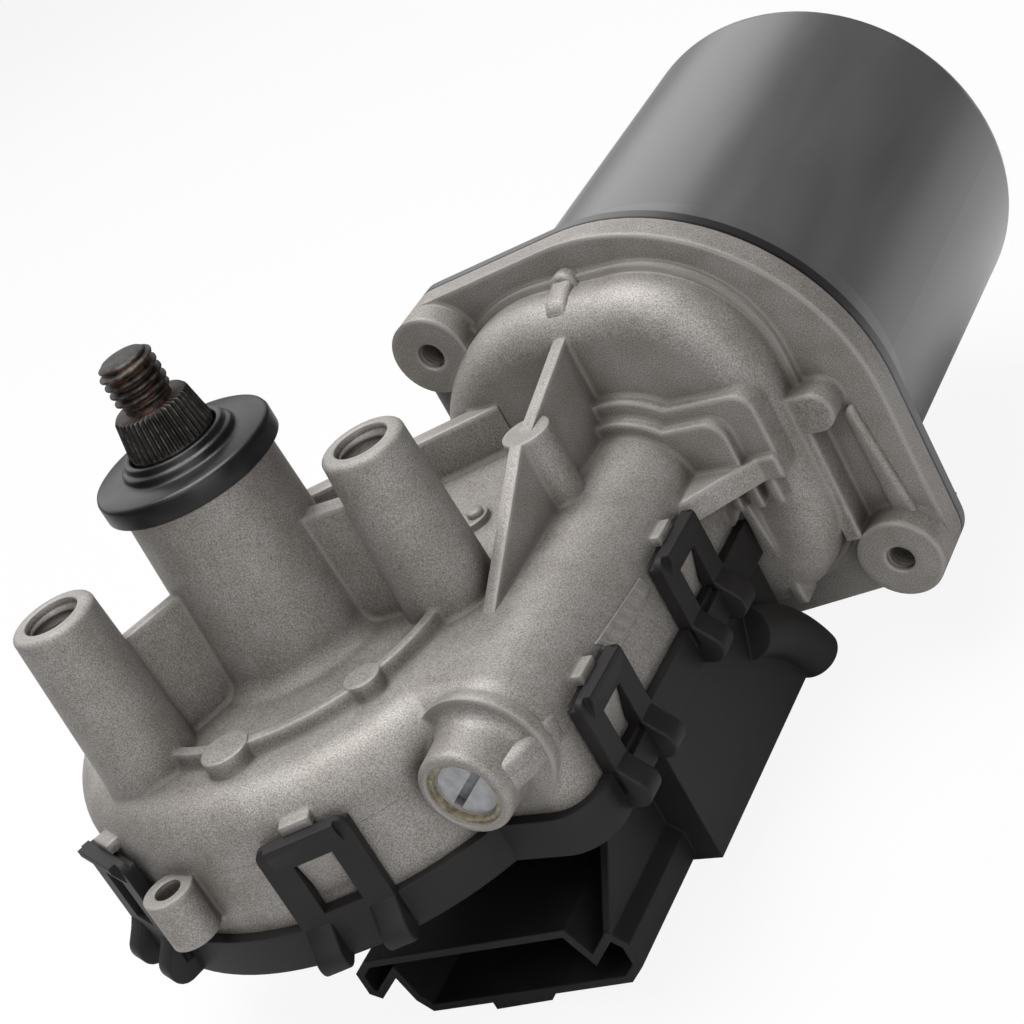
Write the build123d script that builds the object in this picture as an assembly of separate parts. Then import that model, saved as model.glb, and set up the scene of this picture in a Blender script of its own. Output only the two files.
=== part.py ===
"""Front wiper motor: worm gearbox in a die-cast housing, with a flanged permanent-magnet motor.

Frame: the origin is where the output axis meets the plane of the three mounting boss faces.
+Z runs along the output shaft towards its stud, +Y along the armature from the end-play screw
towards the motor can, and +X from the output axis towards the worm. Millimetres.
"""
import os
from math import atan, cos, degrees, pi, radians, sin, sqrt, tan

from build123d import *

# --- gear train ------------------------------------------------------------------------------
MODULE = 1.25
WHEEL_TEETH = 50
CENTRE_DISTANCE = 36.0
WORM_Z = -34.6                 # height of the worm axis
WORM_LENGTH = 20.0
WHEEL_FACE = 8.0
BACKLASH = 0.36                # play between tooth flanks on the pitch circle
ROOT_GAP = 0.25                # tip of one gear to root of the other
WHEEL_R = MODULE * WHEEL_TEETH / 2
WORM_R = CENTRE_DISTANCE - WHEEL_R
WORM_TIP_R = WORM_R + MODULE
WORM_ROOT_R = WORM_R - MODULE - ROOT_GAP
WHEEL_TIP_R = WHEEL_R + MODULE
WHEEL_ROOT_R = WHEEL_R - MODULE - ROOT_GAP
AXIAL_PITCH = pi * MODULE
LEAD_ANGLE = atan(MODULE / (2 * WORM_R))
FLANK_ANGLE = radians(20)
SEAM_TURN = 90.0               # keeps the seam of the worm's core away from the thread's start

# --- output shaft ----------------------------------------------------------------------------
SHAFT_R = 6.0
RUN_GAP = 0.04                 # radial running clearance in bushes and bearings
STUD_R = 4.0
STUD_TOP = 21.7
CONE_BOTTOM = 8.7
CONE_TOP = 14.4
CONE_BOTTOM_R = 6.3
CONE_TOP_R = 5.4
WASHER = 0.5
WASHER_R = 8.4
RING_THICKNESS = 0.9
RING_R = 7.6
RING_GROOVE_R = 5.5
HUB_R = 10.5
HUB_TOP = -29.3
HUB_BOTTOM = -40.2
DISC_R = 24.0
DISC_INNER_R = 12.0
DISC_THICKNESS = 0.6
DISC_Z = -39.2                 # underside of the park disc
CAP_BOTTOM = 3.2
CAP_RIM = 6.6                  # top of the rim that grips the tower
CAP_TOP = 8.9                  # top of the lip round the shaft
CAP_R = 13.0
CAP_SEAT_R = 11.05
CAP_LIP_R = 8.6

# --- gear housing ----------------------------------------------------------------------------
WALL = 3.2
WHEEL_ROOM = 1.3               # round the wheel, inside the chamber
CHAMBER_R = WHEEL_TIP_R + WHEEL_ROOM + WALL
SHOULDER_R = 6.5
DECK_Z = -25.3
HOUSING_BOTTOM = -46.5
TUBE_R = WORM_Z * -1 + DECK_Z  # the worm tube's crown lies level with the deck
BLOCK_FRONT = -19.0
FRONT_EDGE_R = 4.5
WORM_BORE_R = WORM_TIP_R + 0.6
TOWER_TOP = 4.5
RING_Z = TOWER_TOP + 0.1 + WASHER
TOWER_R = 11.0
TOWER_BASE_R = 12.0
TOWER_FOOT_R = 2.5
BUSH_WALL = 2.0
BUSH_LENGTH = 11.0

BOSS_R = 5.9
BOSS_BASE_R = 7.0
BOSS_AT = ((-11.5, -24.0), (24.1, 4.3), (-15.1, 19.3))
TAP_R = 3.4                    # tapping size of the M8 mounting threads
TAP_DEPTHS = (18.0, 17.0, 16.0)
LEAD_IN_R = 3.9
LEAD_IN_DEPTHS = (3.0, 2.6, 2.2)
LUG_X, LUG_Y = -4.5, -39.5
LUG_TOP, LUG_BOTTOM = -34.0, -41.5
LUG_R = 3.6
LUG_HOLE_R = 1.9
REAR_WALL_TOP = -18.4
LEAD_WINDOW_TOP = -40.5
WORM_ROOM = 12.5               # the worm bore runs this far either side of the output axis
BEARING_START, BEARING_END = 31.0, 38.0
BEARING_R = 8.0
FRONT_BUSH_START = -17.6
FRONT_BUSH_R = 5.5

# --- motor flange and brush drum ---------------------------------------------------------------
FLANGE_FACE = 53.4             # joint plane with the motor can
FLANGE_THICKNESS = 4.4
EAR_ANGLE = 139.3              # direction of the upper ear, seen along +Y with +X as zero
EAR_R = 6.3
EAR_PAD = 4.4
DRUM_FRONT = 40.0
DRUM_LEFT, DRUM_RIGHT = 3.0, 58.5
DRUM_BOTTOM, DRUM_TOP = -62.0, -6.5
DRUM_CORNERS = (16.0, 16.0, 18.0, 26.0)   # lower left, lower right, upper right, upper left
BRUSH_ROOM_R = 20.5
BRUSH_ROOM_FLOOR = 43.4
FLANGE_ROOM_FLOOR = 50.6
COLLAR_FRONT = 36.2
COLLAR_STEP, COLLAR_INSET = 1.8, 2.4
COLLAR_R = 13.8
SHOULDER_RIGHT, SHOULDER_TOP = 57.5, -23.7   # the collar's shoulder beside the worm tube
DRUM_EDGE_R = 6.0
DRUM_LIP = 1.0
SHELF_Z, SHELF_FRONT = -33.6, 29.0
SHELF_THICKNESS = 3.6
SHELF_RIBS = (48.3, 51.6, 54.8)
FIN_X, FIN_DEPTH = 48.3, 1.2
SIDE_RIB, SIDE_RIB_TOP, SIDE_RIB_BOTTOM = 3.0, -29.6, -54.0

# --- motor can ---------------------------------------------------------------------------------
CAN_R = 31.4
CAN_WALL = 1.8
CAN_END = 123.0
CAN_EDGE_R = 3.0
CAN_FLANGE = 1.6
GASKET = 0.5
CUP_R = 9.0
CUP_LENGTH = 6.5
SCREW_R = 2.5
SCREW_TAP_R = 2.1
SCREW_HEAD_R = 4.6
SCREW_HEAD = 3.4
FLANGE_R = CAN_R + 2.6
EAR_DISTANCE = CAN_R + SCREW_HEAD_R + 0.6   # the screw heads just clear the can

# --- armature ------------------------------------------------------------------------------------
ROTOR_SHAFT_R = 4.0
CORE_START, CORE_END = 66.0, 104.0
SLOTS = 12
AIR_GAP = 0.7
MAGNET_THICKNESS = 6.5
CORE_R = CAN_R - CAN_WALL - MAGNET_THICKNESS - AIR_GAP
COMMUTATOR_R = 10.5
COMMUTATOR_START, COMMUTATOR_END = 46.2, 57.0
COMMUTATOR_BARS = 12
JOURNAL_R = 3.0
SHAFT_FRONT = -17.2
SHAFT_END = 126.5
SLOT_FLOOR_R = 10.5
SLOT_WIDTH = 3.6
END_TURN = 7.5
MAGNET_ARC = 150.0
BALL_Y = -17.4
PLATE_Y = 51.0
PLATE_THICKNESS = 1.8
PLATE_BORE_R = 12.6
GUIDE_START, GUIDE_END = 11.6, 19.8
BRUSH_END = 17.6
BRUSH_HEIGHT = 5.0
BRUSH_WIDTH = 4.4
BRUSH_ANGLES = (0.0, 180.0, 125.0)
CHOKE_R = 2.4
CHOKE_LENGTH = 12.0
CHOKE_AT = CAN_R - CAN_WALL - CHOKE_R - 3.2
LEAD_X = (20.0, 22.0, 24.0)
LEAD_R = 0.7

# --- end-play screw --------------------------------------------------------------------------------
SCREW_BOSS_FRONT = -26.2
SCREW_BOSS_R = 6.3
THRUST_R = 4.0
THRUST_FACE = -24.9
THRUST_BACK = -19.45
SLOT_TURN = 140.0
BALL_R = 1.75
MOUTH_R = 5.0
MOUTH_DEPTH = 1.2

# --- gear cover --------------------------------------------------------------------------------------
COVER_TOP = -44.5
COVER_BOTTOM = -50.5
COVER_PLATE = 2.2
COVER_LIP = 1.5
COVER_GAP = 0.15
CLIP_WIDTH = 13.0
CLIP_TOP = -30.5
SIDE_CLIP_TOP = -33.4
CLIP_THICKNESS = 2.0
CLIP_GAP = 0.5
CLIP_SLOT = 5.4
CLIP_CORNER_R = 1.6
CLIP_ANGLES = (-64.0, -116.0, 176.0, 128.0)
CLIP_Y = (-6.3, 22.0)
NIB_WIDTH = 4.2
RAMP_DEPTH = 2.0
RAMP_WIDTH = 5.0
SEAT_Z = -47.3                 # ledge for the cover seal
BOX_LEFT, BOX_RIGHT = -3.5, 46.5
BOX_FRONT, BOX_BACK = -1.4, 38.0
BOX_BOTTOM = -70.0
SPOUT_X = 46.5
SPOUT_PATH = ((27.5, -55.0), (35.0, -61.2), (39.9, -69.4))   # (y, z) of its middle line
SPOUT_R, SPOUT_BORE_R = 3.9, 2.7
CONTACT_Z = -60.0              # underside of the contact plate
CONTACT_X, CONTACT_STEP = 10.0, 4.5
CONTACT_ROOT, CONTACT_TIP = 20.0, 10.0
SOCKET_RIM = ((-1.4, -65.4), (34.2, -61.8), (36.4, -66.4), (40.4, -62.6), (42.8, -65.0), (42.8, -69.0),
              (40.0, -71.6), (27.6, -73.0), (5.2, -75.4), (3.4, -73.2), (2.4, -68.8), (-2.2, -72.6),
              (-4.0, -71.6), (-4.0, -67.6))       # outside of the mouth, with its two coding grooves
LATCH = ((16.0, -73.8), (27.6, -72.5), (25.9, -74.2), (16.0, -75.5))
BLADE_MIDDLE, SOCKET_Z = 20.0, -68.0
SOCKET_MOUTH = -22.0
WEB_FOOT = -63.2
SOCKET_WALL = 1.2
SOCKET_FLOOR = -4.0
BLADES = 5
BLADE_PITCH = 7.0
BLADE_WIDTH = 2.8
BLADE_THICKNESS = 0.8
BLADE_BACK = 6.0


# --- ways of making a solid ------------------------------------------------------------------------
def slab_x(sketch, x0, x1):
    """Extrude a sketch drawn in (y, z) from x0 to x1."""
    return extrude(Plane.YZ.offset(x0) * sketch, amount=x1 - x0)


def slab_y(sketch, y0, y1):
    """Extrude a sketch drawn in (x, z) from y0 to y1."""
    return extrude(Plane.XZ.offset(-y0) * sketch, amount=y0 - y1)


def slab_z(sketch, z0, z1):
    """Extrude a sketch drawn in (x, y) from z0 to z1."""
    return extrude(Plane.XY.offset(z0) * sketch, amount=z1 - z0)


def outline(*points):
    return make_face(Polyline(*points, close=True))


def turned_z(*points, at=(0.0, 0.0)):
    """Revolve an (r, z) outline about a vertical axis."""
    return Pos(at[0], at[1], 0) * revolve(Plane.XZ * outline(*points), Axis.Z)


def turned_y(*points):
    """Revolve an (r, y) outline about the worm and armature axis."""
    return Pos(CENTRE_DISTANCE, 0, WORM_Z) * revolve(outline(*points), Axis.Y)


def ring_y(outer, inner, y0, y1):
    return turned_y((inner, y0), (outer, y0), (outer, y1), (inner, y1))


def ring_z(outer, inner, z0, z1, at=(0.0, 0.0)):
    return turned_z((inner, z0), (outer, z0), (outer, z1), (inner, z1), at=at)


def cone_z(base_r, top_r, z0, z1, at=(0.0, 0.0)):
    return turned_z((0, z0), (base_r, z0), (top_r, z1), (0, z1), at=at)


def box(x0, x1, y0, y1, z0, z1):
    return Pos((x0 + x1) / 2, (y0 + y1) / 2, (z0 + z1) / 2) * Box(x1 - x0, y1 - y0, z1 - z0)


def polar(radius, angle):
    return radius * cos(radians(angle)), radius * sin(radians(angle))


# --- shared outlines ---------------------------------------------------------------------------------
def ear_centres():
    dx, dz = polar(EAR_DISTANCE, EAR_ANGLE)
    return (CENTRE_DISTANCE + dx, WORM_Z + dz), (CENTRE_DISTANCE - dx, WORM_Z - dz)


def flange_outline():
    """Round flange drawn out to two ears, as the taut line round three circles."""
    rims = (Pos(CENTRE_DISTANCE, WORM_Z) * Circle(FLANGE_R)).edges()
    for x, z in ear_centres():
        rims += (Pos(x, z) * Circle(EAR_R)).edges()
    return make_hull(rims)


def plan_outline(grow=0.0):
    """Plan of the gear chamber and the worm block beside it, grown outwards."""
    side = CENTRE_DISTANCE + TUBE_R + grow
    block = outline((0, BLOCK_FRONT - grow), (side, BLOCK_FRONT - grow), (side, DRUM_FRONT), (0, DRUM_FRONT))
    plan = Circle(CHAMBER_R + grow) + block
    front = plan.vertices().sort_by(Axis.X)[-2:].sort_by(Axis.Y)[0]
    return fillet(front, FRONT_EDGE_R + grow)


def rounded_outline(points, radii):
    """Closed outline with each corner rounded to its own radius."""
    face = outline(*points)
    for (x, z), radius in zip(points, radii):
        corner = face.vertices().sort_by_distance((x, z, 0))[0]
        face = fillet(corner, radius)
    return face


def drum_outline(grow=0.0):
    left, right = DRUM_LEFT - grow, DRUM_RIGHT + grow
    bottom, top = DRUM_BOTTOM - grow, DRUM_TOP + grow
    corners = ((left, bottom), (right, bottom), (right, top), (left, top))
    return rounded_outline(corners, [radius + grow for radius in DRUM_CORNERS])


# --- gear housing ------------------------------------------------------------------------------------
def housing_shell():
    """Outside of the gear chamber with the worm block beside it."""
    chamber = Pos(0, 0, (HOUSING_BOTTOM + DECK_Z) / 2) * Cylinder(CHAMBER_R, DECK_Z - HOUSING_BOTTOM)
    rim = chamber.edges().filter_by(GeomType.CIRCLE).sort_by(Axis.Z)[-1]
    chamber = fillet(rim, SHOULDER_R)
    side = CENTRE_DISTANCE + TUBE_R
    profile = outline((0, HOUSING_BOTTOM), (side, HOUSING_BOTTOM), (side, DECK_Z), (0, DECK_Z))
    profile = fillet(profile.vertices().sort_by_distance((side, DECK_Z, 0))[0], TUBE_R - 0.2)
    block = slab_y(profile, BLOCK_FRONT, DRUM_FRONT + 1)
    upright = block.edges().filter_by(Axis.Z).sort_by_distance((side, BLOCK_FRONT, HOUSING_BOTTOM))[0]
    block = fillet(upright, FRONT_EDGE_R)
    return chamber + block


def drum():
    body = slab_y(drum_outline(), DRUM_FRONT, FLANGE_FACE - FLANGE_THICKNESS)
    body = fillet(body.faces().sort_by(Axis.Y)[0].edges(), DRUM_EDGE_R)
    return body + slab_y(drum_outline(DRUM_LIP), FLANGE_FACE - FLANGE_THICKNESS - DRUM_LIP, FLANGE_FACE - 1)


def tower():
    foot = TOWER_BASE_R + TOWER_FOOT_R + 1
    profile = outline((0, DECK_Z - 1), (foot, DECK_Z - 1), (foot, DECK_Z), (TOWER_BASE_R, DECK_Z),
                      (TOWER_R, TOWER_TOP), (0, TOWER_TOP))
    profile = fillet(profile.vertices().sort_by_distance((TOWER_BASE_R, DECK_Z, 0))[0], TOWER_FOOT_R)
    profile = chamfer(profile.vertices().sort_by_distance((TOWER_R, TOWER_TOP, 0))[0], 0.6)
    return revolve(Plane.XZ * profile, Axis.Z)


def mounting_boss(x, y):
    boss = cone_z(BOSS_BASE_R, BOSS_R, DECK_Z - SHOULDER_R, 0, at=(x, y))
    return fillet(boss.edges().sort_by(Axis.Z)[-1], 0.8)


def boss_hole(place):
    x, y = BOSS_AT[place]
    depth, lead_in = TAP_DEPTHS[place], LEAD_IN_DEPTHS[place]
    tap = Pos(x, y, -depth / 2) * Cylinder(TAP_R, depth)
    return tap + Pos(x, y, -lead_in / 2) * Cylinder(LEAD_IN_R, lead_in)


def radial_rib(angle, start, end, width, top):
    return Rot(0, 0, angle) * box(start, end, -width / 2, width / 2, DECK_Z - 1, top)


def deck_ribs():
    """Ribs that tie the tower, the bosses and the drum together."""
    web = radial_rib(-115.6, TOWER_R - 1, 26.0, 2.0, -8.7)
    rib = radial_rib(10.0, TOWER_R - 1, 23.0, 3.0, -7.5)
    wall = Rot(0, 0, 28.6) * box(-2.0, 35.0, 26.1, 29.1, DECK_Z - SHOULDER_R, REAR_WALL_TOP)
    ridge = revolve(Plane.XZ * outline((24.4, DECK_Z - 1), (26.6, DECK_Z - 1), (26.3, DECK_Z + 2.2),
                                       (24.7, DECK_Z + 2.2)), Axis.Z, 100)
    return [web, rib, wall, Rot(0, 0, -102) * ridge]


def deck_pads():
    """Flat rounds left by the ejector pins of the die."""
    pads = [Pos(x, y, DECK_Z) * Cylinder(r, 2 * h) for x, y, r, h in
            ((4.2, -26.0, 3.4, 2.4), (20.6, -14.6, 2.6, 2.4), (19.0, 21.0, 3.0, 1.0))]
    return pads


def gusset():
    profile = outline((DRUM_FRONT + 3, -10), (23.7, -14.4), (20.2, -14.4), (-2.0, -25.6),
                      (-2.0, -29.0), (DRUM_FRONT + 3, -29.0))
    column = Pos(33, 23.7, -22) * Cylinder(3.5, 15.2)
    return slab_x(profile, 32.0, 34.0) + column


def end_play_boss():
    """Round nose on the front wall that carries the end-play screw."""
    profile = outline((0, BLOCK_FRONT + 2), (SCREW_BOSS_R + 3, BLOCK_FRONT + 2),
                      (SCREW_BOSS_R + 3, BLOCK_FRONT), (SCREW_BOSS_R + 0.4, BLOCK_FRONT),
                      (SCREW_BOSS_R, SCREW_BOSS_FRONT), (0, SCREW_BOSS_FRONT))
    profile = fillet(profile.vertices().sort_by_distance((SCREW_BOSS_R + 0.4, BLOCK_FRONT, 0))[0], 2.0)
    profile = fillet(profile.vertices().sort_by_distance((SCREW_BOSS_R, SCREW_BOSS_FRONT, 0))[0], 0.8)
    return Pos(CENTRE_DISTANCE, 0, WORM_Z) * revolve(profile, Axis.Y)


def collar_outline(grow):
    """Ring over the worm tube, running out into a shoulder to the right."""
    right, top = SHOULDER_RIGHT + 2 * grow, SHOULDER_TOP + grow
    corners = ((CENTRE_DISTANCE, WORM_Z), (right, WORM_Z), (right, top), (CENTRE_DISTANCE, top))
    shoulder = rounded_outline(corners[2:3] + corners[3:] + corners[:2], (3.0, 0.01, 0.01, 0.01))
    above_cover = outline((DRUM_LEFT, COVER_TOP + 0.4), (DRUM_RIGHT, COVER_TOP + 0.4), (DRUM_RIGHT, 0),
                          (DRUM_LEFT, 0))
    return (Pos(CENTRE_DISTANCE, WORM_Z) * Circle(COLLAR_R + grow) + shoulder) & above_cover


def bearing_collar():
    """Two-step collar where the worm tube meets the drum."""
    back = DRUM_FRONT + DRUM_EDGE_R / 2
    return slab_y(collar_outline(0.0), COLLAR_FRONT + COLLAR_STEP, back) + slab_y(
        collar_outline(-COLLAR_INSET), COLLAR_FRONT, back)


def corner_shelf():
    """Flat shelf in the corner between the worm tube and the drum, with the drum's upright fin."""
    side = CENTRE_DISTANCE + TUBE_R
    shelf = slab_z(outline((side - 2, SHELF_FRONT), (side, SHELF_FRONT), (SHOULDER_RIGHT - 3, COLLAR_FRONT + 1),
                           (SHOULDER_RIGHT, COLLAR_FRONT + 1), (SHOULDER_RIGHT, DRUM_FRONT + 3),
                           (side - 2, DRUM_FRONT + 3)), SHELF_Z - SHELF_THICKNESS, SHELF_Z)
    under = [box(x - 0.7, x + 0.7, DRUM_FRONT - 2.4, DRUM_FRONT + 3, SHELF_Z - 8, SHELF_Z - 1) for x in SHELF_RIBS]
    fin = slab_x(outline((DRUM_FRONT - FIN_DEPTH, SHELF_Z - 8), (DRUM_FRONT + 5, SHELF_Z - 8),
                         (DRUM_FRONT + 5, DRUM_BOTTOM + 1), (DRUM_FRONT + 1, DRUM_BOTTOM + 1)),
                 FIN_X - 0.8, FIN_X + 0.8)
    return [shelf, fin] + under


def side_rib():
    """Rib with a round head on the right of the drum, in front of the flange."""
    right = DRUM_RIGHT + SIDE_RIB
    head = Pos(right, SIDE_RIB_TOP - SIDE_RIB) * Circle(SIDE_RIB)
    stem = Pos(DRUM_RIGHT, (SIDE_RIB_TOP + SIDE_RIB_BOTTOM) / 2) * Rectangle(
        2.4, SIDE_RIB_TOP - SIDE_RIB_BOTTOM)
    neck = Pos(DRUM_RIGHT, SIDE_RIB_TOP - SIDE_RIB) * Rectangle(2 * SIDE_RIB, 2 * SIDE_RIB)
    return slab_y(head + neck + stem, FLANGE_FACE - FLANGE_THICKNESS - 4.5, FLANGE_FACE - 1)


def ear_pads():
    front = FLANGE_FACE - FLANGE_THICKNESS - EAR_PAD
    return [slab_y(Pos(x, z) * Circle(EAR_R), front, FLANGE_FACE - 1) for x, z in ear_centres()]


def ear_holes():
    front = FLANGE_FACE - FLANGE_THICKNESS - EAR_PAD
    holes = []
    for x, z in ear_centres():
        holes.append(slab_y(Pos(x, z) * Circle(SCREW_TAP_R), front - 1, FLANGE_FACE + 1))
        holes.append(slab_y(Pos(x, z) * Circle(SCREW_R), FLANGE_FACE - FLANGE_THICKNESS, FLANGE_FACE + 1))
    return holes


def clip_ramp(top):
    """Wedge the clip snaps over, with its guard nib above; drawn at x = 0 facing +X."""
    wedge = Plane.XZ * outline((-1.5, top - 4.2), (RAMP_DEPTH, top - 4.2), (0.2, top - 10.6),
                               (-1.5, top - 10.6))
    ramp = extrude(wedge, amount=RAMP_WIDTH / 2, both=True)
    return ramp + box(-1.5, 1.4, -NIB_WIDTH / 2, NIB_WIDTH / 2, top - 0.2, top + 1.2)


def at_clips(make):
    """Shapes drawn at x = 0 facing +X for a given top, set at every clip position."""
    placed = [Rot(0, 0, angle) * Pos(CHAMBER_R, 0, 0) * make(CLIP_TOP) for angle in CLIP_ANGLES]
    placed += [Pos(CENTRE_DISTANCE + TUBE_R, y, 0) * make(SIDE_CLIP_TOP) for y in CLIP_Y]
    return placed


def housing_hollows():
    """Everything cut from the casting: chamber, worm bore, bearing seats and screw holes."""
    chamber_top = DECK_Z - WALL
    chamber = Pos(0, 0, (HOUSING_BOTTOM - 1 + chamber_top) / 2) * Cylinder(
        CHAMBER_R - WALL, chamber_top - HOUSING_BOTTOM + 1)
    tower_bore = Pos(0, 0, (chamber_top + TOWER_TOP) / 2) * Cylinder(
        SHAFT_R + BUSH_WALL, TOWER_TOP - chamber_top + 2)
    worm = turned_y((0, -WORM_ROOM), (WORM_BORE_R, -WORM_ROOM), (WORM_BORE_R, BEARING_START - 1.0),
                    (0, BEARING_START - 1.0))
    below = box(CENTRE_DISTANCE - WORM_BORE_R, CENTRE_DISTANCE + WORM_BORE_R, -WORM_ROOM, WORM_ROOM + 2,
                HOUSING_BOTTOM - 1, WORM_Z)
    bearing = turned_y((0, BEARING_START - 2), (BEARING_R, BEARING_START - 2), (BEARING_R, BEARING_END),
                       (WORM_BORE_R, BEARING_END), (WORM_BORE_R, BRUSH_ROOM_FLOOR + 1),
                       (0, BRUSH_ROOM_FLOOR + 1))
    bush = turned_y((0, FRONT_BUSH_START), (FRONT_BUSH_R, FRONT_BUSH_START), (FRONT_BUSH_R, -WORM_ROOM + 1),
                    (0, -WORM_ROOM + 1))
    nose = turned_y((0, SCREW_BOSS_FRONT - 1), (MOUTH_R, SCREW_BOSS_FRONT - 1),
                    (MOUTH_R, SCREW_BOSS_FRONT + MOUTH_DEPTH), (THRUST_R + RUN_GAP, SCREW_BOSS_FRONT + MOUTH_DEPTH),
                    (THRUST_R + RUN_GAP, FRONT_BUSH_START + 0.5), (0, FRONT_BUSH_START + 0.5))
    brush = turned_y((0, BRUSH_ROOM_FLOOR), (BRUSH_ROOM_R, BRUSH_ROOM_FLOOR),
                     (BRUSH_ROOM_R, FLANGE_ROOM_FLOOR), (CAN_R - CAN_WALL, FLANGE_ROOM_FLOOR),
                     (CAN_R - CAN_WALL, FLANGE_FACE + 1), (0, FLANGE_FACE + 1))
    pocket = box(10.0, 28.0, 26.0, DRUM_FRONT - WALL, HOUSING_BOTTOM - 1, LEAD_WINDOW_TOP)
    window = box(18.0, 26.0, DRUM_FRONT - WALL - 1, BRUSH_ROOM_FLOOR + 1, HOUSING_BOTTOM + 1,
                 LEAD_WINDOW_TOP)
    return [chamber, tower_bore, worm, below, bearing, bush, nose, brush, pocket, window]


def gear_housing():
    body = housing_shell() + drum() + slab_y(flange_outline(), FLANGE_FACE - FLANGE_THICKNESS, FLANGE_FACE)
    body += [tower(), gusset(), end_play_boss(), bearing_collar(), side_rib()] + corner_shelf()
    body += [mounting_boss(x, y) for x, y in BOSS_AT]
    body += deck_ribs() + deck_pads() + ear_pads() + at_clips(clip_ramp)
    body += box(-4.5 - 1.2, -4.5 + 1.2, LUG_Y, LUG_Y + 5, LUG_BOTTOM, LUG_TOP)
    body += Pos(LUG_X, LUG_Y, (LUG_TOP + LUG_BOTTOM) / 2) * Cylinder(LUG_R, LUG_TOP - LUG_BOTTOM)
    body -= housing_hollows() + ear_holes() + [boss_hole(place) for place in range(len(BOSS_AT))]
    body -= Pos(LUG_X, LUG_Y, (LUG_TOP + LUG_BOTTOM) / 2) * Cylinder(LUG_HOLE_R, LUG_TOP - LUG_BOTTOM)
    return body


# --- gear cover --------------------------------------------------------------------------------------
def clip(top):
    """U-frame that hooks over a ramp; drawn at x = 0 facing +X."""
    half, slot = CLIP_WIDTH / 2, CLIP_SLOT / 2
    frame = box(CLIP_GAP, CLIP_GAP + CLIP_THICKNESS, -half, half, COVER_BOTTOM + 1.0, top)
    frame = fillet(frame.edges().filter_by(Axis.X), CLIP_CORNER_R)
    tip = Plane.XZ * outline((CLIP_GAP, top - 2.6), (CLIP_GAP + CLIP_THICKNESS, top - 3.4),
                             (CLIP_GAP + CLIP_THICKNESS + 1.0, top - 1.0),
                             (CLIP_GAP + CLIP_THICKNESS + 1.0, top), (CLIP_GAP + 0.9, top))
    frame += extrude(tip, amount=half - CLIP_CORNER_R, both=True)
    frame -= box(0, CLIP_GAP + CLIP_THICKNESS + 2, -slot, slot, top - 12.0, top - 4.0)
    frame -= box(0, CLIP_GAP + 0.9, -half, half, top - 0.9, top + 1)
    return frame


def cover_tray():
    """Shallow tray under the gear chamber with a lip round the casting."""
    tray = slab_z(plan_outline(COVER_GAP + COVER_LIP), COVER_BOTTOM, COVER_TOP)
    tray += at_clips(clip)
    tray += box(BOX_LEFT, BOX_RIGHT, BOX_FRONT, BOX_BACK, BOX_BOTTOM, COVER_BOTTOM + 1)
    tray -= slab_z(plan_outline(COVER_GAP), SEAT_Z, COVER_TOP)
    tray -= slab_z(plan_outline(-WALL), COVER_BOTTOM + COVER_PLATE, COVER_TOP)
    tray -= box(BOX_LEFT + COVER_PLATE, BOX_RIGHT - COVER_PLATE - 2, BOX_FRONT + COVER_PLATE,
                BOX_BACK - COVER_PLATE, BOX_BOTTOM + COVER_PLATE, COVER_BOTTOM + COVER_PLATE + 0.5)
    return tray - box(-60, 60, DRUM_FRONT - COVER_GAP, 60, -90, 0)


def connector_shroud():
    """Socket for the vehicle plug, open towards -Y."""
    rim = outline(*SOCKET_RIM)
    shell = slab_y(rim, SOCKET_MOUTH, BOX_FRONT + 1)
    room = slab_y(offset(rim, -SOCKET_WALL, kind=Kind.INTERSECTION), SOCKET_MOUTH - 1, SOCKET_FLOOR)
    right = SOCKET_RIM[3][0]
    web = slab_x(outline((BOX_FRONT + 1, COVER_BOTTOM + 0.5), (BOX_FRONT + 1, WEB_FOOT), (SOCKET_MOUTH, WEB_FOOT),
                         (-8.0, COVER_BOTTOM + 0.5)), right - SOCKET_WALL / 2, right + SOCKET_WALL / 2)
    return shell - room + [web - room, slab_y(outline(*LATCH), SOCKET_MOUTH, SOCKET_MOUTH + 9)]


def drain_spout():
    """Curved breather spout beside the box, its mouth turned down under the drum."""
    path = ThreePointArc(*[(SPOUT_X, y, z) for y, z in SPOUT_PATH])
    tube = sweep(Plane(origin=path @ 0, z_dir=path % 0) * Circle(SPOUT_R), path=path)
    mouth = Plane(origin=path @ 1, z_dir=-(path % 1)) * Circle(SPOUT_BORE_R)
    return tube - extrude(mouth, amount=SPOUT_R * 2)


def gear_cover():
    body = cover_tray() + connector_shroud() + drain_spout()
    slots = [box(x - BLADE_WIDTH / 2, x + BLADE_WIDTH / 2, SOCKET_FLOOR - 1, BLADE_BACK,
                 SOCKET_Z - BLADE_THICKNESS / 2, SOCKET_Z + BLADE_THICKNESS / 2) for x in blade_places()]
    return body - slots


def cover_seal():
    ring = slab_z(plan_outline(-0.4), SEAT_Z, HOUSING_BOTTOM)
    ring -= slab_z(plan_outline(0.4 - WALL), SEAT_Z, HOUSING_BOTTOM)
    return ring - box(-60, 60, DRUM_FRONT - 0.4, 60, -90, 0)


def blade_places():
    return [BLADE_MIDDLE + (i - (BLADES - 1) / 2) * BLADE_PITCH for i in range(BLADES)]


def connector_terminals():
    """Flat blades through the socket floor, turned up into the contact plate."""
    blades = []
    top = CONTACT_Z
    for x in blade_places():
        blade = box(x - BLADE_WIDTH / 2, x + BLADE_WIDTH / 2, SOCKET_MOUTH + 6, BLADE_BACK,
                    SOCKET_Z - BLADE_THICKNESS / 2, SOCKET_Z + BLADE_THICKNESS / 2)
        blade += box(x - BLADE_WIDTH / 2, x + BLADE_WIDTH / 2, BLADE_BACK - BLADE_THICKNESS, BLADE_BACK,
                     SOCKET_Z, top)
        blades.append(blade)
    return Compound(children=blades)


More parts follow.
